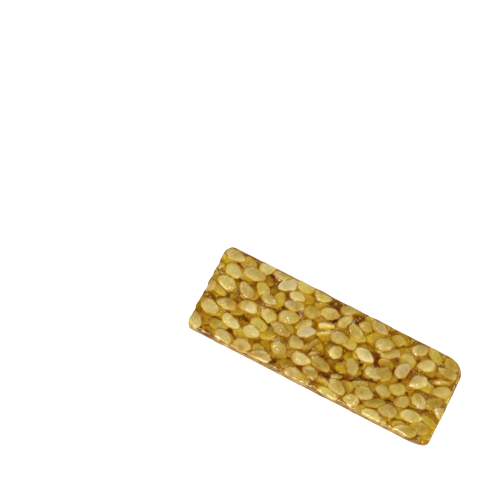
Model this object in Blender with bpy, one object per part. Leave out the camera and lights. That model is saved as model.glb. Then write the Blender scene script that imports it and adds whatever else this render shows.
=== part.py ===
"""A bare sesame candy: a small bar of clear boiled-sugar caramel, packed with hulled sesame seeds.

It is one solid. The caramel is a slab cut from a rolled sheet, and the seeds that lie against its
top and its cut sides stand a little proud of it and are fused to it. It lies flat on its underside.
Metres, +Z up, +X along the bar, and the origin is under the middle of the bar, on the surface it lies on.
"""

import math
import random

import bmesh
import bpy
import numpy as np
from mathutils import Euler, Matrix, Vector

MM = 0.001

# The bar over everything, seeds included
LENGTH = 45.0 * MM
WIDTH = 15.5 * MM
THICKNESS = 4.6 * MM

# How far the proudest seeds stand out of the caramel. The knife left little of them at the sides.
PROUD_TOP = 0.32 * MM
PROUD_SIDE = 0.14 * MM

# The caramel slab: its own half length and half width, and the height of its top face
SLAB_X = LENGTH / 2 - PROUD_SIDE
SLAB_Y = WIDTH / 2 - PROUD_SIDE
SLAB_Z = THICKNESS - PROUD_TOP

# Seen from above, each corner is a quarter of an ellipse: (side in X, side in Y) -> (radius in X, in Y).
# One corner was broken off broadly, and the knife ran out of one long cut near its end.
CORNERS = {
    (1, 1): (3.2 * MM, 2.7 * MM),
    (-1, 1): (1.5 * MM, 1.2 * MM),
    (-1, -1): (0.7 * MM, 0.7 * MM),
    (1, -1): (3.4 * MM, 0.8 * MM),
}
CORNER_STEPS = 6
TOP_EDGE_ROUND = 0.45 * MM
FOOT_EDGE_ROUND = 0.3 * MM

# A hulled sesame seed, and how much seeds differ from each other
SEED_LENGTH = 3.5 * MM
SEED_WIDTH = 2.1 * MM
SEED_THICKNESS = 0.95 * MM
SEED_SPREAD = 0.11
SEED_TAPER = 0.28
SEED_SEGMENTS = 8
SEED_RINGS = 4

# Rolling the sheet laid the seeds along the bar, give or take. Some lie anyhow, and some stand on edge.
HEADING = math.radians(6)
HEADING_SPREAD = math.radians(24)
STRAY_SHARE = 0.08
ROLL_SPREAD = math.radians(9)
ON_EDGE_SHARE = 0.35
ON_EDGE_ROLL = math.radians(70)
PITCH_SPREAD = math.radians(7)

# A seed as seen from above is three discs in a row, from its round end to its tip:
# (place along its half length, share of its half width).
SEED_DISCS = ((-0.48, 0.86), (0.10, 0.95), (0.70, 0.50))

# The seeds were pressed against the top and the foot, one after another, each into the shallowest gap at hand
SEEDS_A_FACE = 640
GAPS_AT_HAND = 14
MOST_SUNK = 0.45 * MM  # how far a seed that touches no other lies under the face
CLOSENESS = 0.78  # seeds touch at this share of their plain discs' reach
LEAST_HELD = 0.3 * MM  # a seed's middle lies at least this far inside the cut sides
LEAST_OVER_FOOT = 0.03 * MM
DRAW_SEED = 20

SKIN = 0.02 * MM  # a seed counts as showing when it stands out of the slab by this much
CLEAR = 0.05 * MM  # how far the knife's envelope stays off the slab's foot and the highest seeds


def clear_scene():
    for thing in list(bpy.data.objects):
        bpy.data.objects.remove(thing)


def new_collection(name):
    collection = bpy.data.collections.new(name)
    bpy.context.scene.collection.children.link(collection)
    return collection


def caramel():
    """Clear hard caramel full of pale seeds: amber, glossy, not metallic."""
    material = bpy.data.materials.new("seeded_caramel")
    material.use_nodes = True
    shader = material.node_tree.nodes["Principled BSDF"]
    shader.inputs["Base Color"].default_value = (0.47, 0.33, 0.08, 1)
    shader.inputs["Roughness"].default_value = 0.2
    shader.inputs["Metallic"].default_value = 0.0
    return material


def past_sides(x, y, inset):
    """How far a point lies past the slab's sides drawn in by inset, seen from above. It is below 0 inside."""
    round_x, round_y = CORNERS[(1 if x > 0 else -1, 1 if y > 0 else -1)]
    past_x = abs(x) - (SLAB_X - round_x)
    past_y = abs(y) - (SLAB_Y - round_y)
    if past_x > 0 and past_y > 0:
        return (math.hypot(past_x / round_x, past_y / round_y) - 1) * min(round_x, round_y) + inset
    return max(abs(x) - SLAB_X, abs(y) - SLAB_Y) + inset


def draw_seed(draws):
    """A seed somewhere over the bar: its size, how it lies, and how far under a face it goes by itself."""
    length, width, thickness = (
        size * max(0.75, draws.gauss(1, SEED_SPREAD))
        for size in (SEED_LENGTH, SEED_WIDTH, SEED_THICKNESS)
    )
    heading = draws.gauss(HEADING, HEADING_SPREAD)
    if draws.random() < STRAY_SHARE:
        heading = draws.uniform(-math.pi / 2, math.pi / 2)
    if draws.random() < 0.5:
        heading += math.pi
    roll = draws.gauss(0, ROLL_SPREAD)
    if draws.random() < ON_EDGE_SHARE:
        roll = draws.uniform(-ON_EDGE_ROLL, ON_EDGE_ROLL)
    turn = Euler((roll, draws.gauss(0, PITCH_SPREAD), heading)).to_matrix()
    size = Vector((length, width, thickness))
    return {
        "x": draws.uniform(-SLAB_X, SLAB_X),
        "y": draws.uniform(-SLAB_Y, SLAB_Y),
        "size": size,
        "turn": turn,
        "heading": heading,
        "half_width": math.hypot(width * math.cos(roll), thickness * math.sin(roll)) / 2,
        "half_height": (turn[2] * size).length / 2,
        "sunk": draws.uniform(0, MOST_SUNK),
    }


def discs_of(seed):
    """The seed seen from above, as rows of x, y, half width and half height."""
    reach_x = seed["size"].x / 2 * math.cos(seed["heading"])
    reach_y = seed["size"].x / 2 * math.sin(seed["heading"])
    return np.array(
        [
            (
                seed["x"] + along * reach_x,
                seed["y"] + along * reach_y,
                share * seed["half_width"],
                share * seed["half_height"],
            )
            for along, share in SEED_DISCS
        ]
    )


def heights_apart(discs, laid):
    """How far apart in height the middles of each disc and each laid disc are when they touch, or 0."""
    apart = np.hypot(*(discs[:, None, :2] - laid[None, :, :2]).transpose(2, 0, 1))
    reach = discs[:, None, 2] + laid[None, :, 2]
    overlap = np.clip(1 - (apart / reach) ** 2, 0, 1)
    return (discs[:, None, 3] + laid[None, :, 3]) * np.sqrt(overlap) * CLOSENESS


def depth_under_face(seed, laid):
    """How deep under a face a seed's middle comes to lie, under the discs laid there before it."""
    least = seed["half_height"] + seed["sunk"]
    apart = heights_apart(discs_of(seed), laid)
    return max(least, (apart + laid[None, :, 4]).max(initial=0, where=apart > 0))


def laid_seeds():
    """Every seed that the caramel holds, each in its place. No seed reaches far into another."""
    draws = random.Random(DRAW_SEED)
    seeds = []
    across = np.empty((0, 5))
    for face, inward in ((THICKNESS, -1), (LEAST_OVER_FOOT, 1)):
        laid = np.empty((0, 5))
        for _ in range(SEEDS_A_FACE):
            at_hand = [draw_seed(draws) for _ in range(GAPS_AT_HAND)]
            at_hand = [seed for seed in at_hand if past_sides(seed["x"], seed["y"], LEAST_HELD) < 0]
            depths = [depth_under_face(seed, laid) for seed in at_hand]
            depth = min(depths, default=THICKNESS)
            if depth > THICKNESS / 2:
                continue
            seed = at_hand[depths.index(depth)]
            discs = discs_of(seed)
            if (heights_apart(discs, across) + across[None, :, 4] + depth > THICKNESS).any():
                continue
            laid = np.vstack((laid, np.column_stack((discs, np.full(len(discs), depth)))))
            seed["place"] = Vector((seed["x"], seed["y"], face + inward * depth))
            seeds.append(seed)
        across = laid
    return seeds


def seed_shape(seed):
    """A flat seed in its place: round at one end, and drawn out to a blunt tip at the other."""
    shape = bmesh.new()
    bmesh.ops.create_uvsphere(
        shape, u_segments=SEED_SEGMENTS, v_segments=SEED_RINGS, radius=0.5
    )
    for vertex in shape.verts:
        along = vertex.co.z * 2
        vertex.co.x *= 1 - SEED_TAPER * along
        vertex.co.y *= 1 - SEED_TAPER * along
    along_x = Matrix.Rotation(math.pi / 2, 4, "Y")
    sized = Matrix.Diagonal((*seed["size"], 1))
    placed = Matrix.Translation(seed["place"]) @ seed["turn"].to_4x4() @ sized @ along_x
    bmesh.ops.transform(shape, matrix=placed, verts=shape.verts)
    return shape


def stands_out(shape):
    """True if the seed shows above the slab's top or past its sides."""
    return any(v.co.z > SLAB_Z + SKIN or past_sides(v.co.x, v.co.y, 0) > SKIN for v in shape.verts)


def outline_points(grown):
    """The sides seen from above, anticlockwise, each corner a quarter of its own ellipse."""
    points = []
    for quarter, side in enumerate(((1, 1), (-1, 1), (-1, -1), (1, -1))):
        round_x, round_y = CORNERS[side]
        middle_x = side[0] * (SLAB_X - round_x)
        middle_y = side[1] * (SLAB_Y - round_y)
        for step in range(CORNER_STEPS + 1):
            angle = (quarter + step / CORNER_STEPS) * math.pi / 2
            points.append(
                (
                    middle_x + (round_x + grown) * math.cos(angle),
                    middle_y + (round_y + grown) * math.sin(angle),
                )
            )
    return points


def rounded_slab(name, collection, grown, foot, top):
    """A slab with the bar's outline, its sides grown by grown, and its long edges rounded."""
    outline = bpy.data.curves.new("outline", "CURVE")
    outline.dimensions = "2D"
    outline.fill_mode = "BOTH"
    outline.extrude = (top - foot) / 2
    points = outline_points(grown)
    spline = outline.splines.new("POLY")
    spline.points.add(len(points) - 1)
    for point, (x, y) in zip(spline.points, points):
        point.co = (x, y, 0, 1)
    spline.use_cyclic_u = True
    flat = bpy.data.objects.new("outline", outline)
    collection.objects.link(flat)
    flat.location.z = (foot + top) / 2
    bpy.context.view_layer.update()
    mesh = bpy.data.meshes.new_from_object(
        flat.evaluated_get(bpy.context.evaluated_depsgraph_get())
    )
    mesh.transform(flat.matrix_world)
    bpy.data.objects.remove(flat)

    shape = bmesh.new()
    shape.from_mesh(mesh)
    bmesh.ops.remove_doubles(shape, verts=shape.verts, dist=0.001 * MM)
    for height, radius in ((top, TOP_EDGE_ROUND + grown), (foot, FOOT_EDGE_ROUND + grown)):
        rim = [
            edge
            for edge in shape.edges
            if all(abs(v.co.z - height) < SKIN for v in edge.verts)
            and abs(edge.calc_face_angle(0)) > math.radians(45)
        ]
        bmesh.ops.bevel(
            shape, geom=rim, offset=radius, segments=2, profile=0.5, affect="EDGES", material=-1
        )
    shape.to_mesh(mesh)
    shape.free()
    slab = bpy.data.objects.new(name, mesh)
    collection.objects.link(slab)
    return slab


def apply_modifiers(thing):
    """Keeps what an object's modifiers make of its mesh, and drops the modifiers."""
    bpy.context.view_layer.update()
    evaluated = thing.evaluated_get(bpy.context.evaluated_depsgraph_get())
    mesh = bpy.data.meshes.new_from_object(evaluated)
    thing.modifiers.clear()
    thing.data = mesh


def fuse_seeds(slab):
    """Joins every seed that stands out of the slab to it, and cuts them where the knife went."""
    seeds = new_collection("seeds")
    for number, seed in enumerate(laid_seeds()):
        shape = seed_shape(seed)
        if stands_out(shape):
            mesh = bpy.data.meshes.new(f"seed_{number}")
            shape.to_mesh(mesh)
            seeds.objects.link(bpy.data.objects.new(mesh.name, mesh))
        shape.free()
    knife = rounded_slab("knife", seeds, PROUD_SIDE, -CLEAR, THICKNESS + CLEAR)
    seeds.objects.unlink(knife)

    union = slab.modifiers.new("seeds", "BOOLEAN")
    union.operation = "UNION"
    union.operand_type = "COLLECTION"
    union.collection = seeds
    union.solver = "MANIFOLD"
    trim = slab.modifiers.new("knife", "BOOLEAN")
    trim.operation = "INTERSECT"
    trim.object = knife
    trim.solver = "MANIFOLD"
    apply_modifiers(slab)
    for cut_piece in [*seeds.objects, knife]:
        bpy.data.objects.remove(cut_piece)
    bpy.data.collections.remove(seeds)


clear_scene()
bar = rounded_slab("candy_bar", new_collection("sesame_candy"), 0, 0, SLAB_Z)
fuse_seeds(bar)
bar.data.materials.clear()
bar.data.materials.append(caramel())
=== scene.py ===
import math
import random

import bmesh
import bpy
import numpy as np
from mathutils import Euler, Matrix, Vector, noise
from mathutils.bvhtree import BVHTree


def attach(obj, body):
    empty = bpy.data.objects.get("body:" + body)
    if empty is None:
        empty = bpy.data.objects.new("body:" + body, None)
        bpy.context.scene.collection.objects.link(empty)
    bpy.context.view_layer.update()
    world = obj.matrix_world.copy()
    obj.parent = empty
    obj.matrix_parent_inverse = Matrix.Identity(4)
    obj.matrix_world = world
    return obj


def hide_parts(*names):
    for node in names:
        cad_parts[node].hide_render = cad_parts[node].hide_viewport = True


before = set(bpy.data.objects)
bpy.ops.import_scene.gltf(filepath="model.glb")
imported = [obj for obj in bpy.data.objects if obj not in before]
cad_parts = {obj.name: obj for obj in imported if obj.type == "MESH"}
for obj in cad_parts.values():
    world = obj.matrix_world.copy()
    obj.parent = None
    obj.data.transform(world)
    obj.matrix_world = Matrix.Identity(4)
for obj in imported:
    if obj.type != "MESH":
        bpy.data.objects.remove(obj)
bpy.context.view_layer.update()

# The bar: a sweet of 45 by 15.5 by 4.6 mm, broken and cut from a rolled sheet of caramel and sesame seeds.
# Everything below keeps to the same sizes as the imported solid: the caramel is a slab whose seeds stand a
# little proud of its top, and its sides were cut through caramel and seeds alike.

MM = 0.001
LENGTH = 45.0 * MM
WIDTH = 15.5 * MM
THICKNESS = 4.6 * MM
PROUD_TOP = 0.32 * MM
PROUD_SIDE = 0.14 * MM
SLAB_X = LENGTH / 2 - PROUD_SIDE
SLAB_Y = WIDTH / 2 - PROUD_SIDE
SLAB_Z = THICKNESS - PROUD_TOP

# Seen from above, each corner is a quarter of an ellipse: (side in X, side in Y) -> (radius in X, in Y)
CORNERS = {
    (1, 1): (3.2 * MM, 2.7 * MM),
    (-1, 1): (1.5 * MM, 1.2 * MM),
    (-1, -1): (0.7 * MM, 0.7 * MM),
    (1, -1): (3.4 * MM, 0.8 * MM),
}
CORNER_STEPS = 12
TOP_EDGE_ROUND = 0.45 * MM
FOOT_EDGE_ROUND = 0.3 * MM


def rest_of_corner(x, y):
    """Where a point lies in the nearest corner's ellipse: its offset from the middle, and the radii."""
    round_x, round_y = CORNERS[(1 if x > 0 else -1, 1 if y > 0 else -1)]
    return abs(x) - (SLAB_X - round_x), abs(y) - (SLAB_Y - round_y), round_x, round_y


def past_sides(x, y, inset):
    """How far a point lies past the slab's sides drawn in by inset, seen from above. It is below 0 inside."""
    past_x, past_y, round_x, round_y = rest_of_corner(x, y)
    if past_x > 0 and past_y > 0:
        return (math.hypot(past_x / round_x, past_y / round_y) - 1) * min(round_x, round_y) + inset
    return max(abs(x) - SLAB_X, abs(y) - SLAB_Y) + inset


# The seeds: hulled sesame, flat drops about 3.5 by 2.1 by 0.95 mm, stirred into the hot caramel. The roller
# laid them along the bar and pressed them against the top and the foot, and the knife cut those at the sides.

SEED_LENGTH = 3.5 * MM
SEED_WIDTH = 2.1 * MM
SEED_THICKNESS = 0.95 * MM
SEED_SPREAD = 0.11
SMALLEST_SHARE = 0.75

# How a seed lies: headed along the bar but for a few strays, and flat but for a share that rolled on edge
HEADING = math.radians(6)
HEADING_SPREAD = math.radians(24)
STRAY_SHARE = 0.08
TURNED_SHARE = 0.5
ROLL_SPREAD = math.radians(9)
ON_EDGE_SHARE = 0.35
ON_EDGE_ROLL = math.radians(70)
PITCH_SPREAD = math.radians(7)

# A seed as seen from above is three discs in a row: (place along its half length, share of its half width)
SEED_DISCS = ((-0.48, 0.86), (0.10, 0.95), (0.70, 0.50))

# How seeds pack: at each face in turn, every seed goes to the shallowest of the gaps at hand
SEEDS_A_FACE = 640
GAPS_AT_HAND = 14
MOST_SUNK = 0.45 * MM
CLOSENESS = 0.78
LEAST_HELD = 0.3 * MM
LEAST_OVER_FOOT = 0.03 * MM
SEED_SEGMENTS = 20
SEED_RINGS = 10

# Rows for the discs of laid seeds: x, y, half width, half height and depth under the face. None at first.
NONE_LAID = np.empty((0, 5))

# Where the random draws start. Each group of pieces counts on from here, so that none shares its draws.
DRAW_SEED = 20


def draw_seed(draws):
    """A seed somewhere over the bar: its size, how it lies, and how far under a face it goes by itself."""
    length, width, thickness = (
        size * max(SMALLEST_SHARE, draws.gauss(1, SEED_SPREAD))
        for size in (SEED_LENGTH, SEED_WIDTH, SEED_THICKNESS)
    )
    heading = draws.gauss(HEADING, HEADING_SPREAD)
    if draws.random() < STRAY_SHARE:
        heading = draws.uniform(-math.pi / 2, math.pi / 2)
    if draws.random() < TURNED_SHARE:
        heading += math.pi
    roll = draws.gauss(0, ROLL_SPREAD)
    if draws.random() < ON_EDGE_SHARE:
        roll = draws.uniform(-ON_EDGE_ROLL, ON_EDGE_ROLL)
    turn = Euler((roll, draws.gauss(0, PITCH_SPREAD), heading)).to_matrix()
    size = Vector((length, width, thickness))
    return {
        "x": draws.uniform(-SLAB_X, SLAB_X),
        "y": draws.uniform(-SLAB_Y, SLAB_Y),
        "size": size,
        "turn": turn,
        "heading": heading,
        "half_width": math.hypot(width * math.cos(roll), thickness * math.sin(roll)) / 2,
        "half_height": (turn[2] * size).length / 2,
        "sunk": draws.uniform(0, MOST_SUNK),
    }


def discs_of(seed):
    """The seed seen from above, as rows of x, y, half width and half height."""
    reach_x = seed["size"].x / 2 * math.cos(seed["heading"])
    reach_y = seed["size"].x / 2 * math.sin(seed["heading"])
    return np.array(
        [
            (
                seed["x"] + along * reach_x,
                seed["y"] + along * reach_y,
                share * seed["half_width"],
                share * seed["half_height"],
            )
            for along, share in SEED_DISCS
        ]
    )


def heights_apart(discs, laid):
    """How far apart in height the middles of each disc and each laid disc are when they touch, or 0."""
    apart = np.hypot(*(discs[:, None, :2] - laid[None, :, :2]).transpose(2, 0, 1))
    reach = discs[:, None, 2] + laid[None, :, 2]
    overlap = np.clip(1 - (apart / reach) ** 2, 0, 1)
    return (discs[:, None, 3] + laid[None, :, 3]) * np.sqrt(overlap) * CLOSENESS


def laid_at(seed, depth):
    """The seed's discs once it is laid: their rows, with the depth of its middle under the face."""
    return np.column_stack((discs_of(seed), np.full(len(SEED_DISCS), depth)))


def depth_under_face(seed, laid):
    """How deep under a face a seed's middle comes to lie, under the discs laid there before it."""
    least = seed["half_height"] + seed["sunk"]
    apart = heights_apart(discs_of(seed), laid)
    return max(least, (apart + laid[None, :, 4]).max(initial=0, where=apart > 0))


def laid_seeds():
    """Every seed that the caramel holds, each in its place. No seed reaches far into another."""
    draws = random.Random(DRAW_SEED)
    seeds = []
    across = NONE_LAID
    for face, inward in ((THICKNESS, -1), (LEAST_OVER_FOOT, 1)):
        laid = NONE_LAID
        for _ in range(SEEDS_A_FACE):
            at_hand = [draw_seed(draws) for _ in range(GAPS_AT_HAND)]
            at_hand = [seed for seed in at_hand if past_sides(seed["x"], seed["y"], LEAST_HELD) < 0]
            depths = [depth_under_face(seed, laid) for seed in at_hand]
            depth = min(depths, default=THICKNESS)
            if depth > THICKNESS / 2:
                continue
            seed = at_hand[depths.index(depth)]
            if (heights_apart(discs_of(seed), across) + across[None, :, 4] + depth > THICKNESS).any():
                continue
            laid = np.vstack((laid, laid_at(seed, depth)))
            seed["place"] = Vector((seed["x"], seed["y"], face + inward * depth))
            seed["steps"] = (SEED_SEGMENTS, SEED_RINGS)
            seeds.append(seed)
        across = laid
    return seeds


# Bits of seeds and small unripe ones, which sifted into the gaps between the whole seeds. Their sizes are
# shares of a whole seed's, and one that would lie deeper than the deepest is left out, as it wouldn't show.
BITS_A_FACE = 850
BIT_SIZES = (0.3, 0.8)
BIT_PRESSED = 0.8
BIT_HELD = 0.12 * MM
DEEPEST_BIT = 1.9 * MM
BIT_SEGMENTS = 12
BIT_RINGS = 6

# Small seeds in the sharp corner, where no whole one found room: x, y and depth under the top
CORNER_FILL = (
    (21.0 * MM, -6.75 * MM, 0.7 * MM),
    (21.4 * MM, -6.0 * MM, 1.3 * MM),
    (20.2 * MM, -6.9 * MM, 1.6 * MM),
)
CORNER_BIT_SIZE = 0.65


def sifted_bits(seeds):
    """The small pieces in the gaps, laid against the top and the foot after the whole seeds."""
    draws = random.Random(DRAW_SEED + 3)
    bits = []
    for face, inward in ((THICKNESS, -1), (LEAST_OVER_FOOT, 1)):
        near = [seed for seed in seeds if abs(face - seed["place"].z) < THICKNESS / 2]
        laid = np.vstack([laid_at(seed, abs(face - seed["place"].z)) for seed in near])
        for _ in range(BITS_A_FACE):
            at_hand = [draw_seed(draws) for _ in range(GAPS_AT_HAND)]
            share = draws.uniform(*BIT_SIZES)
            for bit in at_hand:
                bit["size"] *= share
                bit["half_width"] *= share * BIT_PRESSED
                bit["half_height"] *= share
            at_hand = [bit for bit in at_hand if past_sides(bit["x"], bit["y"], BIT_HELD) < 0]
            depths = [depth_under_face(bit, laid) for bit in at_hand]
            depth = min(depths, default=THICKNESS)
            if depth > DEEPEST_BIT:
                continue
            bit = at_hand[depths.index(depth)]
            laid = np.vstack((laid, laid_at(bit, depth)))
            bit["place"] = Vector((bit["x"], bit["y"], face + inward * depth))
            bit["steps"] = (BIT_SEGMENTS, BIT_RINGS)
            bits.append(bit)
    for x, y, depth in CORNER_FILL:
        bit = draw_seed(draws)
        bit["size"] *= CORNER_BIT_SIZE
        bit["half_height"] *= CORNER_BIT_SIZE
        bit["place"] = Vector((x, y, THICKNESS - depth))
        bit["steps"] = (BIT_SEGMENTS, BIT_RINGS)
        bits.append(bit)
    return bits


# How the knife and the roller leave a seed: a little proud of the slab's rounded form, most of all on top,
# less the film of caramel over it. Towards a rounded edge what stands proud falls off by this power.
FILM = 0.045 * MM
SLACK = 0.004 * MM
MOST_CUTS = 14
PROUD_FALLOFF = 4


def cut_to_outline(x, y, grown):
    """The point itself or, if it lies past the sides grown by grown, the nearest place on them."""
    past_x, past_y, round_x, round_y = rest_of_corner(x, y)
    if past_x > 0 and past_y > 0:
        reach = math.hypot(past_x / (round_x + grown), past_y / (round_y + grown))
        back = 1 - 1 / max(reach, 1)
        return x - math.copysign(past_x * back, x), y - math.copysign(past_y * back, y)
    half_x, half_y = SLAB_X + grown, SLAB_Y + grown
    return min(max(x, -half_x), half_x), min(max(y, -half_y), half_y)


# The bar was snapped off at its -X end, which left shallow scoops, taller than wide, over most of that end
CHIP_WIDE = 1.1 * MM
CHIP_DEEP = 0.42 * MM
CHIP_UPRIGHT = 0.6
CHIP_SPREAD = 0.25


def chipped(place, way_out):
    """How far the snapped end is drawn in at a place on it, where flakes split off. Elsewhere it is 0."""
    scoops = noise.noise(Vector((0, place.y, place.z * CHIP_UPRIGHT)) / CHIP_WIDE)
    return CHIP_DEEP * max(0, CHIP_SPREAD + scoops) * max(0, -way_out.x) ** 2


def trim_seed(shape):
    """Cuts a seed with flat cuts where it would stand out of the caramel's sides, edges or foot."""
    for _ in range(MOST_CUTS):
        cuts = {}
        for vertex in shape.verts:
            radius = TOP_EDGE_ROUND if vertex.co.z > SLAB_Z / 2 else FOOT_EDGE_ROUND
            height = min(max(vertex.co.z, FOOT_EDGE_ROUND), SLAB_Z - TOP_EDGE_ROUND)
            core = Vector((*cut_to_outline(vertex.co.x, vertex.co.y, -radius), height))
            way_out = vertex.co - core
            past = way_out.length - radius
            way_out.normalize()
            upward = max(way_out.z, 0) ** PROUD_FALLOFF
            sideways = way_out.xy.length**PROUD_FALLOFF
            proud = PROUD_TOP * upward + PROUD_SIDE * sideways
            allowed = proud - FILM - chipped(core, way_out)
            cuts[past - allowed] = (core + way_out * (radius + allowed), way_out)
        furthest = max(cuts, default=0)
        if furthest < SLACK:
            return
        bmesh.ops.bisect_plane(
            shape,
            geom=[*shape.verts, *shape.edges, *shape.faces],
            plane_co=cuts[furthest][0],
            plane_no=cuts[furthest][1],
            clear_outer=True,
        )
        rim = [edge for edge in shape.edges if edge.is_boundary]
        bmesh.ops.holes_fill(shape, edges=rim, sides=0)


# The form of a seed, in shares of its size. A power below 1 presses its faces flat. Its lumps are noise,
# about three and seven to its length, read at a far-off place that each seed has to itself.
LEAST_TAPER = 0.08
MOST_TAPER = 0.28
SEED_BEND = 0.05
SEED_FLATNESS = 0.72
SEED_LUMPS = 0.16
BROAD_LUMPS = 3
FINE_LUMPS = 7
FAR_OFF = 100


def seed_shape(seed, draws):
    """A flat seed in its place, round at one end and drawn out to a blunt tip at the other."""
    taper = draws.uniform(LEAST_TAPER, MOST_TAPER)
    bend = draws.gauss(0, SEED_BEND)
    lumps = Vector([draws.uniform(0, FAR_OFF) for _ in range(3)])
    shape = bmesh.new()
    segments, rings = seed["steps"]
    bmesh.ops.create_uvsphere(shape, u_segments=segments, v_segments=rings, radius=0.5)
    rim = shape.verts.layers.float.new("rim")
    for vertex in shape.verts:
        along = vertex.co.z * 2
        vertex[rim] = math.hypot(along, vertex.co.y * 2)
        broad = noise.noise(vertex.co * BROAD_LUMPS + lumps)
        fine = noise.noise(vertex.co * FINE_LUMPS - lumps)
        swell = 1 + SEED_LUMPS * (broad + fine)
        vertex.co.x *= (1 - taper * along) * swell
        vertex.co.y *= (1 - taper * along) * swell
        vertex.co.x = math.copysign(0.5 * abs(2 * vertex.co.x) ** SEED_FLATNESS, vertex.co.x)
        vertex.co.y += bend * (1 - along * along)
    along_x = Matrix.Rotation(math.pi / 2, 4, "Y")
    sized = Matrix.Diagonal((*seed["size"], 1))
    placed = Matrix.Translation(seed["place"]) @ seed["turn"].to_4x4() @ sized @ along_x
    bmesh.ops.transform(shape, matrix=placed, verts=shape.verts)
    trim_seed(shape)
    return shape


def finished_piece(name, mesh, material):
    """An object of the bar at the origin, with its material and its slot, on the bar's only body."""
    piece = bpy.data.objects.new(name, mesh)
    bpy.context.scene.collection.objects.link(piece)
    mesh.materials.clear()
    mesh.materials.append(material)
    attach(piece, "root")
    return piece


def srgb(code):
    """A colour from its sRGB hex value, as the linear value that shaders use."""
    channels = (int(code[i : i + 2], 16) / 255 for i in (0, 2, 4))
    return (*(c / 12.92 if c <= 0.04045 else ((c + 0.055) / 1.055) ** 2.4 for c in channels), 1)


def node(owner, kind, settings=(), inputs=(), links=()):
    """Adds one node: its own settings, its input values, and links as (input, other node, output)."""
    new = owner.node_tree.nodes.new(kind)
    for name, value in dict(settings).items():
        setattr(new, name, value)
    for name, value in dict(inputs).items():
        new.inputs[name].default_value = value
    for name, other, output in links:
        owner.node_tree.links.new(other.outputs[output], new.inputs[name])
    return new


def new_material(name):
    """A material with no nodes yet."""
    material = bpy.data.materials.new(name)
    material.use_nodes = True
    material.node_tree.nodes.clear()
    return material


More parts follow.
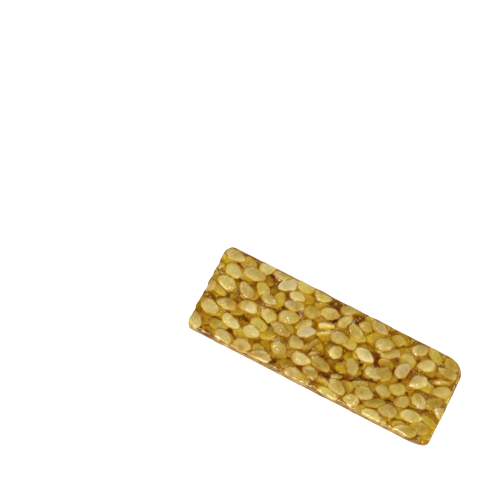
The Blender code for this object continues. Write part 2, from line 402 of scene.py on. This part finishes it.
def hulled_sesame():
    """Hulled sesame kernels, cream and a little translucent, so they look soft. Their gloss is the caramel's.

    Each has its own tone, and some are toasted. The frayed pale band inside a thin brown rim is a painted
    highlight and painted shade at its edge, and dark lines are painted shade of creases. Dry ones, standing
    out of the caramel, are paler. Deep ones are browned in patches: partly painted shade, partly burnt bits.
    """
    material = new_material("hulled_sesame")
    place = node(material, "ShaderNodeTexCoord")
    tone = node(material, "ShaderNodeAttribute", {"attribute_name": "tone"})

    # From 0 in a kernel's middle to 1 at its rim, frayed in shreds a quarter of a kernel long
    rim = node(material, "ShaderNodeAttribute", {"attribute_name": "rim"})
    frayed = node(
        material,
        "ShaderNodeTexNoise",
        inputs={"Scale": 1 / (0.9 * MM), "Detail": 3.0},
        links=[("Vector", place, "Object")],
    )
    uneven = node(
        material,
        "ShaderNodeMath",
        {"operation": "MULTIPLY_ADD"},
        {1: 0.5},
        [(0, frayed, "Fac"), (2, rim, "Fac")],
    )
    to_rim = node(material, "ShaderNodeMath", {"operation": "SUBTRACT"}, {1: 0.25}, [(0, uneven, 0)])

    # The kernel's mottled cream. Real grain is finer than a pixel of the picture, so it is drawn at 0.4 mm.
    mottle = node(
        material,
        "ShaderNodeTexNoise",
        inputs={"Scale": 1 / (0.4 * MM), "Detail": 6.0, "Roughness": 0.7},
        links=[("Vector", place, "Object")],
    )
    mixed = node(
        material,
        "ShaderNodeMath",
        {"operation": "MULTIPLY_ADD"},
        {1: 0.6},
        [(0, mottle, "Fac"), (2, tone, "Fac")],
    )
    kernel = node(material, "ShaderNodeValToRGB", links=[("Fac", mixed, 0)])
    stops = kernel.color_ramp.elements
    stops[0].position = 0.22
    stops[0].color = srgb("C4AC60")
    stops[1].position = 0.78
    stops[1].color = srgb("EEE8CC")
    stops.new(0.5).color = srgb("DED29E")

    # The dry ones, with no caramel on top, are paler
    dry = node(material, "ShaderNodeAttribute", {"attribute_name": "dry"})
    toned = node(
        material,
        "ShaderNodeMix",
        {"data_type": "RGBA"},
        {7: srgb("FFF2C2")},
        [("Factor", dry, "Fac"), (6, kernel, "Color")],
    )

    # The pale band and the brown rim: a painted highlight inside the kernel's edge and painted shade on the
    # edge itself
    painted_rim_light_and_shade = node(material, "ShaderNodeValToRGB", links=[("Fac", to_rim, 0)])
    rim_light_and_shade_stops = painted_rim_light_and_shade.color_ramp.elements
    rim_light_and_shade_stops[0].position = 0.35
    rim_light_and_shade_stops[0].color = srgb("EEEEE4")
    rim_light_and_shade_stops[1].position = 1.0
    rim_light_and_shade_stops[1].color = srgb("CCB078")
    for position, code in ((0.72, "FFFCEE"), (0.93, "FFF0C8")):
        rim_light_and_shade_stops.new(position).color = srgb(code)
    tinted = node(
        material,
        "ShaderNodeMix",
        {"data_type": "RGBA", "blend_type": "MULTIPLY"},
        {"Factor": 1.0},
        [(6, toned, 2), (7, painted_rim_light_and_shade, "Color")],
    )

    # Toasted patches, about as wide as a kernel is long
    warmth = node(
        material,
        "ShaderNodeTexNoise",
        inputs={"Scale": 1 / (3.0 * MM), "Detail": 3.0},
        links=[("Vector", place, "Object")],
    )
    scorch = node(
        material,
        "ShaderNodeMapRange",
        inputs={"From Min": 0.45, "From Max": 0.7},
        links=[("Value", warmth, "Fac")],
    )
    toasted = node(
        material,
        "ShaderNodeMix",
        {"data_type": "RGBA", "blend_type": "MULTIPLY"},
        {7: srgb("E6D09C")},
        [("Factor", scorch, "Result"), (6, tinted, 2)],
    )

    # Creases half a kernel apart, as painted shade: darker lines with no relief of their own. Real ones are
    # hair-fine, so they are drawn wider, or none would show.
    furrows = node(
        material,
        "ShaderNodeTexNoise",
        inputs={"Scale": 1 / (1.6 * MM), "Detail": 3.0, "Roughness": 0.6, "Distortion": 0.6},
        links=[("Vector", place, "Object")],
    )
    halfway = node(
        material, "ShaderNodeMath", {"operation": "SUBTRACT"}, {1: 0.5}, [(0, furrows, "Fac")]
    )
    ridge = node(material, "ShaderNodeMath", {"operation": "ABSOLUTE"}, links=[(0, halfway, 0)])
    painted_crease_shade = node(
        material,
        "ShaderNodeMapRange",
        inputs={"From Min": 0.0, "From Max": 0.02, "To Min": 0.22, "To Max": 0.0},
        links=[("Value", ridge, 0)],
    )
    crease_shaded = node(
        material,
        "ShaderNodeMix",
        {"data_type": "RGBA", "blend_type": "MULTIPLY"},
        {7: srgb("B08C50")},
        [("Factor", painted_crease_shade, "Result"), (6, toasted, 2)],
    )

    # Brown on the deep seeds, in patches a little longer than a seed: partly painted shade in the gaps
    # between the top seeds, partly burnt bits
    at = node(material, "ShaderNodeSeparateXYZ", links=[("Vector", place, "Object")])
    deep = node(
        material,
        "ShaderNodeMapRange",
        inputs={"From Min": THICKNESS - 0.9 * MM, "From Max": THICKNESS - 1.5 * MM},
        links=[("Value", at, "Z")],
    )
    dark_patch_noise = node(
        material,
        "ShaderNodeTexNoise",
        inputs={"Scale": 1 / (4.0 * MM), "Detail": 2.0},
        links=[("Vector", place, "Object")],
    )
    stain_and_shade = node(
        material,
        "ShaderNodeMapRange",
        inputs={"From Min": 0.52, "From Max": 0.64},
        links=[("Value", dark_patch_noise, "Fac"), ("To Max", deep, "Result")],
    )
    stained_and_shaded = node(
        material,
        "ShaderNodeMix",
        {"data_type": "RGBA", "blend_type": "MULTIPLY"},
        {7: srgb("BE9048")},
        [("Factor", stain_and_shade, "Result"), (6, crease_shaded, 2)],
    )
    grained = node(
        material,
        "ShaderNodeBump",
        inputs={"Strength": 0.9, "Distance": 0.05 * MM},
        links=[("Height", mottle, "Fac")],
    )
    shader = node(
        material,
        "ShaderNodeBsdfPrincipled",
        inputs={
            "Roughness": 0.6,
            "Specular IOR Level": 0.0,
            "Subsurface Weight": 0.6,
            "Subsurface Radius": (1.0, 0.8, 0.5),
            "Subsurface Scale": 0.2 * MM,
        },
        links=[("Base Color", stained_and_shaded, 2), ("Normal", grained, "Normal")],
    )

    # The lamps' light passes through kernels, warmer each time, so the gaps aren't in full shadow. The
    # colour is the shares of red, green and blue light that pass.
    ray = node(material, "ShaderNodeLightPath")
    through = node(material, "ShaderNodeBsdfTransparent", inputs={"Color": (0.90, 0.84, 0.54, 1)})
    surface = node(
        material,
        "ShaderNodeMixShader",
        links=[("Fac", ray, "Is Shadow Ray"), (1, shader, "BSDF"), (2, through, "BSDF")],
    )
    node(material, "ShaderNodeOutputMaterial", links=[("Surface", surface, "Shader")])
    return material


# The caramel left some of the seeds that stand highest dry on top, and every seed has a tone of its own
DRY_SHARE = 0.12
LOWEST_CROWN = THICKNESS - 0.14 * MM
PALENESS = 0.85
TONE_SPREAD = 0.3
CUT_ANGLE = math.radians(50)

seeds = laid_seeds()
seeds += sifted_bits(seeds)
all_seeds = bmesh.new()
for name in ("rim", "tone", "dry"):
    all_seeds.verts.layers.float.new(name)
draws = random.Random(DRAW_SEED + 1)

# For each face of all the seeds, whether it is a dry one's
is_dry = []
for seed in seeds:
    shape = seed_shape(seed, draws)
    crown = seed["place"].z + seed["half_height"]
    dry = draws.random() < DRY_SHARE and crown > LOWEST_CROWN
    is_dry += [dry] * len(shape.faces)
    tone_layer = shape.verts.layers.float.new("tone")
    dry_layer = shape.verts.layers.float.new("dry")
    tone = draws.random() * TONE_SPREAD
    for vertex in shape.verts:
        vertex[tone_layer] = tone
        vertex[dry_layer] = dry * PALENESS
    one_seed = bpy.data.meshes.new("seed")
    shape.to_mesh(one_seed)
    shape.free()
    all_seeds.from_mesh(one_seed)
    bpy.data.meshes.remove(one_seed)
bmesh.ops.recalc_face_normals(all_seeds, faces=all_seeds.faces)
seeds_tree = BVHTree.FromBMesh(all_seeds)
seeds_mesh = bpy.data.meshes.new("sesame_seeds")
all_seeds.to_mesh(seeds_mesh)
all_seeds.free()
seeds_mesh.shade_smooth()
seeds_mesh.set_sharp_from_angle(angle=CUT_ANGLE)
finished_piece("sesame_seeds", seeds_mesh, hulled_sesame())


# The caramel: sugar and glucose boiled hard, clear and amber, poured over the seeds, rolled flat and cut. It
# wets the seeds with a thin film, thicker where it pooled, sinks a little between them and holds round
# bubbles of air. The knife left the sides flatter and duller than the top.

GRAIN = 0.16 * MM
ROUND_SEGMENTS = 4
RIM_ANGLE = math.radians(45)


def outline_points():
    """The sides seen from above, anticlockwise, each corner a quarter of its own ellipse."""
    points = []
    for quarter, side in enumerate(((1, 1), (-1, 1), (-1, -1), (1, -1))):
        round_x, round_y = CORNERS[side]
        middle_x = side[0] * (SLAB_X - round_x)
        middle_y = side[1] * (SLAB_Y - round_y)
        for step in range(CORNER_STEPS + 1):
            angle = (quarter + step / CORNER_STEPS) * math.pi / 2
            points.append((middle_x + round_x * math.cos(angle), middle_y + round_y * math.sin(angle)))
    return points


def slab_mesh():
    """The plain slab, with its rims rounded, remeshed to even small faces that the film can bend."""
    shape = bmesh.new()
    foot = shape.faces.new([shape.verts.new((x, y, 0)) for x, y in outline_points()])
    bmesh.ops.reverse_faces(shape, faces=[foot])
    raised = bmesh.ops.extrude_face_region(shape, geom=[foot], use_keep_orig=True)["geom"]
    top_verts = [element for element in raised if isinstance(element, bmesh.types.BMVert)]
    bmesh.ops.translate(shape, verts=top_verts, vec=(0, 0, SLAB_Z))
    bmesh.ops.recalc_face_normals(shape, faces=shape.faces)
    for height, radius in ((SLAB_Z, TOP_EDGE_ROUND), (0, FOOT_EDGE_ROUND)):
        rim = [
            edge
            for edge in shape.edges
            if all(abs(v.co.z - height) < SLACK for v in edge.verts)
            and abs(edge.calc_face_angle(0)) > RIM_ANGLE
        ]
        bmesh.ops.bevel(
            shape,
            geom=rim,
            offset=radius,
            segments=ROUND_SEGMENTS,
            profile=0.5,
            affect="EDGES",
            material=-1,
        )
    mesh = bpy.data.meshes.new("caramel")
    shape.to_mesh(mesh)
    shape.free()
    slab = bpy.data.objects.new("slab", mesh)
    bpy.context.scene.collection.objects.link(slab)
    remesh = slab.modifiers.new("even faces", "REMESH")
    remesh.mode = "VOXEL"
    remesh.voxel_size = GRAIN
    remesh.use_smooth_shade = True
    bpy.context.view_layer.update()
    even = bpy.data.meshes.new_from_object(slab.evaluated_get(bpy.context.evaluated_depsgraph_get()))
    bpy.data.objects.remove(slab)
    return even


# The film: seeds are felt for this far above and below the slab's skin. It is drawn tight between them in
# steps, sinks a little at each, and is thicker where it pooled and on the cut sides.
REACH = 0.8 * MM
FILM_STEPS = 160
FILM_SAG = 0.0012 * MM
POOL_WIDE = 3.0 * MM
POOL_DEEP = 0.38 * MM
CUT_FACE = 0.08 * MM

# These go by how far a face looks up: 1 on top, 0 at the sides, -1 at the foot. From the first number to the
# second, a cut side's own thickness sets in, and so does the film. Below the lowest, no seed is felt for.
SIDES = (0.75, 0.25)
NEAR_FOOT = (-0.8, -0.4)
LOWEST_FELT = -0.5

# The knife's dull cut: how strong it is on an upright face, how much weaker on one that looks up, and how
# wide and strong the scuffs are that break it up
CUT_UPRIGHT = 1.2
CUT_FALLOFF = 1.6
SCUFF_WIDE = 1.2 * MM
SCUFFED = 1.5


def between(values, ends):
    """Each value's place between the two ends, from 0 at the first to 1 at the second, and no further."""
    start, end = ends
    return np.clip((values - start) / (end - start), 0, 1)


def wetting_heights(places, normals):
    """How high over the slab the caramel has to stand to wet the seed at each place, or -1 for no seed."""
    least = np.full(len(places), -1.0)
    for i in np.flatnonzero(normals[:, 2] >= LOWEST_FELT):
        normal = Vector(normals[i])
        start = Vector(places[i]) + normal * REACH
        _, _, face, distance = seeds_tree.ray_cast(start, -normal, 2 * REACH)
        if distance is not None and not is_dry[face]:
            thicker = max(0, noise.noise(Vector(places[i]) / POOL_WIDE)) * POOL_DEEP
            least[i] = REACH - distance + FILM + thicker * max(0, normal.z)
    return least


def draw_film(mesh):
    """Lays the caramel over the seeds: a film on each that stands out, drawn smooth between them."""
    count = len(mesh.vertices)
    places = np.empty(count * 3)
    mesh.vertices.foreach_get("co", places)
    places = places.reshape(-1, 3)
    normals = np.empty(count * 3)
    mesh.vertices.foreach_get("normal", normals)
    normals = normals.reshape(-1, 3)
    upward = normals[:, 2]
    ends = np.empty(len(mesh.edges) * 2, int)
    mesh.edges.foreach_get("vertices", ends)
    ends = ends.reshape(-1, 2)
    neighbours = np.bincount(ends.ravel(), minlength=count)

    least = wetting_heights(places, normals)
    level = CUT_FACE * between(np.abs(upward), SIDES)
    least = np.where(level > 0, np.maximum(least, level), least)
    height = np.maximum(0, least)
    for _ in range(FILM_STEPS):
        around = np.bincount(ends[:, 0], height[ends[:, 1]], count)
        around += np.bincount(ends[:, 1], height[ends[:, 0]], count)
        height = np.maximum(around / neighbours - FILM_SAG, least)
    height *= between(upward, NEAR_FOOT)

    scuffs = np.array([noise.noise(Vector(place) / SCUFF_WIDE) for place in places])
    dulled = np.clip(CUT_UPRIGHT - CUT_FALLOFF * upward + SCUFFED * scuffs, 0, 1)
    mesh.attributes.new("cut", "FLOAT", "POINT").data.foreach_set("value", dulled)

    for i in np.flatnonzero(normals[:, 0] < 0):
        height[i] -= chipped(Vector(places[i]), Vector(normals[i]))
    places += normals * height[:, None]
    places[:, 2] = np.maximum(places[:, 2], 0)
    mesh.vertices.foreach_set("co", places.ravel())
    mesh.update()


# Bubbles, by their radius. None lies lower than this share of the slab's height, as it wouldn't show. One
# wider than the round one would show its faces, so it gets more.
BUBBLES_TRIED = 1100
LOWEST_BUBBLE = 0.6
BIGGEST_BUBBLE = 0.5 * MM
SMALLEST_BUBBLE = 0.09 * MM
BUBBLE_WALL = 0.02 * MM
ROUND_BUBBLE = 0.16 * MM


def blow_bubbles(skin):
    """Air that the stirring left in the caramel: round bubbles, each as wide as the gap it lies in allows."""
    draws = random.Random(DRAW_SEED + 2)
    air = bmesh.new()
    bubbles = []
    for _ in range(BUBBLES_TRIED):
        place = Vector(
            (
                draws.uniform(-SLAB_X, SLAB_X),
                draws.uniform(-SLAB_Y, SLAB_Y),
                draws.uniform(LOWEST_BUBBLE, 1) * SLAB_Z,
            )
        )
        seed_above, _, _, _ = seeds_tree.ray_cast(place, Vector((0, 0, 1)))
        if past_sides(place.x, place.y, FILM) > 0 or seed_above is not None:
            continue
        room = min(tree.find_nearest(place)[3] for tree in (seeds_tree, skin))
        room = min([room, *((place - other).length - size for other, size in bubbles)])
        size = min(room - BUBBLE_WALL, BIGGEST_BUBBLE)
        if size < SMALLEST_BUBBLE:
            continue
        bubbles.append((place, size))
        bmesh.ops.create_icosphere(
            air,
            subdivisions=3 if size > ROUND_BUBBLE else 2,
            radius=size,
            matrix=Matrix.Translation(place),
        )
    bmesh.ops.reverse_faces(air, faces=air.faces)
    mesh = bpy.data.meshes.new("air")
    air.to_mesh(mesh)
    air.free()
    return mesh


def boiled_sugar():
    """Hard caramel, boiled sugar: as clear as glass and amber where it is deep, with a wavy glossy skin.

    The skin is crinkled in patches, in small facets that catch glints, and torn and duller where it is cut.
    """
    material = new_material("boiled_sugar")
    place = node(material, "ShaderNodeTexCoord")

    # The skin waves a few times over each seed
    waves = node(
        material,
        "ShaderNodeTexNoise",
        inputs={"Scale": 1 / (0.8 * MM), "Detail": 1.0},
        links=[("Vector", place, "Object")],
    )
    wavy = node(
        material,
        "ShaderNodeBump",
        inputs={"Strength": 1.0, "Distance": 0.15 * MM},
        links=[("Height", waves, "Fac")],
    )

    # Crinkles, in patches up to a few millimetres wide. Real ones are finer than a pixel of the picture, so
    # their facets are drawn 0.22 mm wide, with ragged edges.
    patches = node(
        material,
        "ShaderNodeTexNoise",
        inputs={"Scale": 1 / (2.2 * MM), "Detail": 2.0},
        links=[("Vector", place, "Object")],
    )
    wrinkled = node(
        material,
        "ShaderNodeMapRange",
        inputs={"From Min": 0.5, "From Max": 0.66, "To Min": 0.04, "To Max": 0.65},
        links=[("Value", patches, "Fac")],
    )
    ripples = node(
        material,
        "ShaderNodeTexNoise",
        inputs={"Scale": 1 / (0.25 * MM), "Detail": 2.0},
        links=[("Vector", place, "Object")],
    )
    strayed = node(
        material,
        "ShaderNodeVectorMath",
        {"operation": "MULTIPLY_ADD"},
        {1: (0.3 * MM, 0.3 * MM, 0.3 * MM)},
        [(0, ripples, "Color"), (2, place, "Object")],
    )
    flakes = node(
        material,
        "ShaderNodeTexVoronoi",
        {"feature": "SMOOTH_F1"},
        inputs={"Scale": 1 / (0.22 * MM), "Smoothness": 0.25},
        links=[("Vector", strayed, "Vector")],
    )

    # Where the knife tore the skin. The real roughness is finer than a pixel, so it is drawn 0.35 mm coarse.
    grit = node(
        material,
        "ShaderNodeTexNoise",
        inputs={"Scale": 1 / (0.35 * MM), "Detail": 2.0},
        links=[("Vector", place, "Object")],
    )
    cut = node(material, "ShaderNodeAttribute", {"attribute_name": "cut"})
    torn = node(
        material, "ShaderNodeMath", {"operation": "MULTIPLY"}, links=[(0, grit, "Fac"), (1, cut, "Fac")]
    )
    torn_skin = node(
        material,
        "ShaderNodeBump",
        inputs={"Strength": 1.0, "Distance": 0.1 * MM},
        links=[("Height", torn, 0), ("Normal", wavy, "Normal")],
    )

    # Each facet tilts its own way. A cut side is shaded as if it leaned up a little, or it would mirror the
    # pale table as a plain sheet of glass does.
    centred = node(
        material,
        "ShaderNodeVectorMath",
        {"operation": "SUBTRACT"},
        {1: (0.5, 0.5, 0.5)},
        [(0, flakes, "Color")],
    )
    tilted = node(
        material,
        "ShaderNodeVectorMath",
        {"operation": "SCALE"},
        links=[(0, centred, "Vector"), ("Scale", wrinkled, "Result")],
    )
    crinkled = node(
        material,
        "ShaderNodeVectorMath",
        {"operation": "ADD"},
        links=[(0, torn_skin, "Normal"), (1, tilted, "Vector")],
    )
    raised = node(
        material,
        "ShaderNodeVectorMath",
        {"operation": "MULTIPLY_ADD"},
        {1: (0, 0, 0.45)},
        [(0, cut, "Fac"), (2, crinkled, "Vector")],
    )
    skin = node(
        material,
        "ShaderNodeVectorMath",
        {"operation": "NORMALIZE"},
        links=[(0, raised, "Vector")],
    )

    # A cut side is duller, and tan with crushed seed
    dusted = node(
        material,
        "ShaderNodeMix",
        {"data_type": "RGBA"},
        {6: srgb("FFFFFF"), 7: srgb("DCC078")},
        [("Factor", cut, "Fac")],
    )
    at_cut = {
        name: node(
            material,
            "ShaderNodeMapRange",
            inputs={"To Min": on_skin, "To Max": on_cut},
            links=[("Value", cut, "Fac")],
        )
        for name, on_skin, on_cut in (
            ("Roughness", 0.15, 0.2),
            ("Coat Weight", 0.6, 0.0),
        )
    }
    clear = node(
        material,
        "ShaderNodeBsdfPrincipled",
        inputs={"IOR": 1.5, "Transmission Weight": 1.0, "Coat Roughness": 0.04},
        links=[
            ("Base Color", dusted, 2),
            ("Normal", skin, "Vector"),
            ("Coat Normal", skin, "Vector"),
            *((name, value, "Result") for name, value in at_cut.items()),
        ],
    )

    # The lamps' light goes straight through to the seeds, but for a tenth of it at each skin, or they would
    # lie in the caramel's shadow
    ray = node(material, "ShaderNodeLightPath")
    through = node(material, "ShaderNodeBsdfTransparent", inputs={"Color": (0.9, 0.9, 0.9, 1)})
    surface = node(
        material,
        "ShaderNodeMixShader",
        links=[("Fac", ray, "Is Shadow Ray"), (1, clear, "BSDF"), (2, through, "BSDF")],
    )

    # Amber by depth: a millimetre takes out three quarters of the blue, a sixth of the green and a twelfth of
    # the red
    amber = node(
        material,
        "ShaderNodeVolumeAbsorption",
        inputs={"Color": (0.935, 0.866, 0.0, 1), "Density": 1.3 / MM},
    )
    node(
        material,
        "ShaderNodeOutputMaterial",
        links=[("Surface", surface, "Shader"), ("Volume", amber, "Volume")],
    )
    return material


caramel_mesh = slab_mesh()
draw_film(caramel_mesh)
caramel = bmesh.new()
caramel.from_mesh(caramel_mesh)
air_mesh = blow_bubbles(BVHTree.FromBMesh(caramel))
caramel.from_mesh(air_mesh)
bpy.data.meshes.remove(air_mesh)
caramel.to_mesh(caramel_mesh)
caramel.free()
caramel_mesh.shade_smooth()
caramel_piece = finished_piece("caramel", caramel_mesh, boiled_sugar())
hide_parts("candy_bar")


# The studio: a white table and backdrop, which glow for the camera and only faintly for the bar, whose sides
# would mirror them. Five square lamps stand round it, and a long lens looks almost straight down.

# The picture's size and the place of the bar's middle in it, in pixels, and how wide a pixel is at the bar
PICTURE = (497, 500)
BAR_IN_PICTURE = (325.6, 345.9)
PIXEL = 0.168 * MM

# Where the camera stands, its lens and the width of the film behind it, which Blender takes in millimetres,
# and the least distance in metres at which it still sees
AZIMUTH = math.radians(27.4)
ELEVATION = math.radians(79.5)
LENS = 110.0
FILM_BACK = 36.0
NEAREST_SEEN = 0.01

to_camera = Vector(
    (
        math.sin(AZIMUTH) * math.cos(ELEVATION),
        -math.cos(AZIMUTH) * math.cos(ELEVATION),
        math.sin(ELEVATION),
    )
)
to_right = Vector((math.cos(AZIMUTH), math.sin(AZIMUTH), 0))
to_top = to_camera.cross(to_right)
aim = (
    Vector((0, 0, THICKNESS / 2))
    - to_right * (BAR_IN_PICTURE[0] - PICTURE[0] / 2) * PIXEL
    + to_top * (BAR_IN_PICTURE[1] - PICTURE[1] / 2) * PIXEL
)
lens = bpy.data.cameras.new("long_lens")
lens.sensor_fit = "HORIZONTAL"
lens.sensor_width = FILM_BACK
lens.lens = LENS
lens.clip_start = NEAREST_SEEN
camera = bpy.data.objects.new("camera", lens)
bpy.context.scene.collection.objects.link(camera)
axes = Matrix((to_right, to_top, to_camera)).transposed().to_4x4()
camera.matrix_world = Matrix.Translation(aim + to_camera * LENS / FILM_BACK * PICTURE[0] * PIXEL) @ axes
bpy.context.scene.camera = camera

# Half a side of the table, and how far it lies under the bar, so that no two faces are in one place
TABLE_REACH = 0.6
TABLE_GAP = 0.02 * MM

table = bmesh.new()
bmesh.ops.create_grid(table, x_segments=1, y_segments=1, size=TABLE_REACH)
bmesh.ops.translate(table, verts=table.verts, vec=(0, 0, -TABLE_GAP))
table_mesh = bpy.data.meshes.new("table")
table.to_mesh(table_mesh)
table.free()
floor = bpy.data.objects.new("table", table_mesh)
bpy.context.scene.collection.objects.link(floor)

# White card: matt, and as bright as paper in strong light
white = new_material("white_card")
seen = node(white, "ShaderNodeLightPath")
shone = node(
    white,
    "ShaderNodeMapRange",
    inputs={"To Min": 0.15, "To Max": 0.9},
    links=[("Value", seen, "Is Camera Ray")],
)
matt = node(
    white,
    "ShaderNodeBsdfPrincipled",
    inputs={
        "Base Color": srgb("F5F5F3"),
        "Roughness": 0.9,
        "Specular IOR Level": 0.1,
        "Emission Color": srgb("FFFFFF"),
    },
    links=[("Emission Strength", shone, "Result")],
)
node(white, "ShaderNodeOutputMaterial", links=[("Surface", matt, "BSDF")])
table_mesh.materials.append(white)


LAMP_COLOUR = (1.0, 0.97, 0.91)


def softbox(name, place, size, power):
    """A square lamp at a place, turned to the bar, a little warmer than white."""
    lamp = bpy.data.lights.new(name, "AREA")
    lamp.shape = "SQUARE"
    lamp.size = size
    lamp.energy = power
    lamp.color = LAMP_COLOUR
    holder = bpy.data.objects.new(name, lamp)
    bpy.context.scene.collection.objects.link(holder)
    holder.matrix_world = Matrix.Translation(place) @ place.to_track_quat("Z", "Y").to_matrix().to_4x4()


# Two lamps at the near left light the bar and lay its shadow on the far side, and a small one high up adds
# glints. Two larger ones fill the shadow. The places and sizes are in metres and the power is in watts.
to_viewer = Vector((math.sin(AZIMUTH), -math.cos(AZIMUTH), 0))
for name, right, near, up, size, power in (
    ("key_left", -0.40, 0.42, 0.55, 0.36, 1.95),
    ("key_near", -0.20, 0.55, 0.50, 0.36, 1.95),
    ("key_high", -0.20, 0.30, 0.72, 0.07, 0.32),
    ("fill_right", 0.60, 0.05, 0.50, 0.40, 1.5),
    ("fill_far", -0.10, -0.60, 0.50, 0.40, 1.2),
):
    softbox(name, to_right * right + to_viewer * near + Vector((0, 0, up)), size, power)
world = bpy.data.worlds.new("studio")
world.use_nodes = True
world.node_tree.nodes.clear()
looked_at = node(world, "ShaderNodeLightPath")
backdrop = node(
    world,
    "ShaderNodeMapRange",
    inputs={"To Min": 0.06, "To Max": 1.0},
    links=[("Value", looked_at, "Is Camera Ray")],
)
glow = node(
    world,
    "ShaderNodeBackground",
    inputs={"Color": srgb("FFFFFF")},
    links=[("Strength", backdrop, "Result")],
)
node(world, "ShaderNodeOutputWorld", links=[("Surface", glow, "Background")])
bpy.context.scene.world = world
bpy.context.scene.view_settings.view_transform = "Standard"
